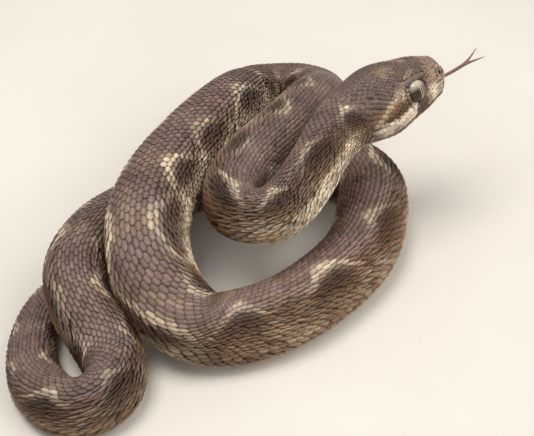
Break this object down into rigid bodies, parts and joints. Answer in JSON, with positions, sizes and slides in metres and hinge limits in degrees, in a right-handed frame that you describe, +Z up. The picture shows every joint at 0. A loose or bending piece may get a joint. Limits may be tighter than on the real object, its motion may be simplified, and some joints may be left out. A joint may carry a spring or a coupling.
{
  "type": "coiled snake",
  "caption": "Life-size, still model of a small, stout viper lying in stacked coils, head raised over them and forked tongue out.",
  "frame": {"origin": "on the floor, under the middle of the coil's bounding box", "axes": "+Z up, +X to the side the snout points to, +Y to the back, away from the open side of the coil"},
  "size_m": [0.0932, 0.1048, 0.038],
  "materials": {
    "scaled_skin": "matt keeled scales",
    "eye": "wet gloss",
    "tongue": "moist"
  },
  "bodies": {
    "root": {"head": "scaled_skin", "lower_jaw": "scaled_skin", "neck": "scaled_skin", "trunk_01": "scaled_skin", "trunk_02": "scaled_skin", "trunk_03": "scaled_skin", "trunk_04": "scaled_skin", "trunk_05": "scaled_skin", "trunk_06": "scaled_skin", "trunk_07": "scaled_skin", "trunk_08": "scaled_skin", "trunk_09": "scaled_skin", "trunk_10": "scaled_skin", "trunk_11": "scaled_skin", "trunk_12": "scaled_skin", "trunk_13": "scaled_skin", "tail_01": "scaled_skin", "tail_02": "scaled_skin", "eye_left": "eye", "eye_right": "eye", "tongue": "tongue"}
  },
  "joints": []
}
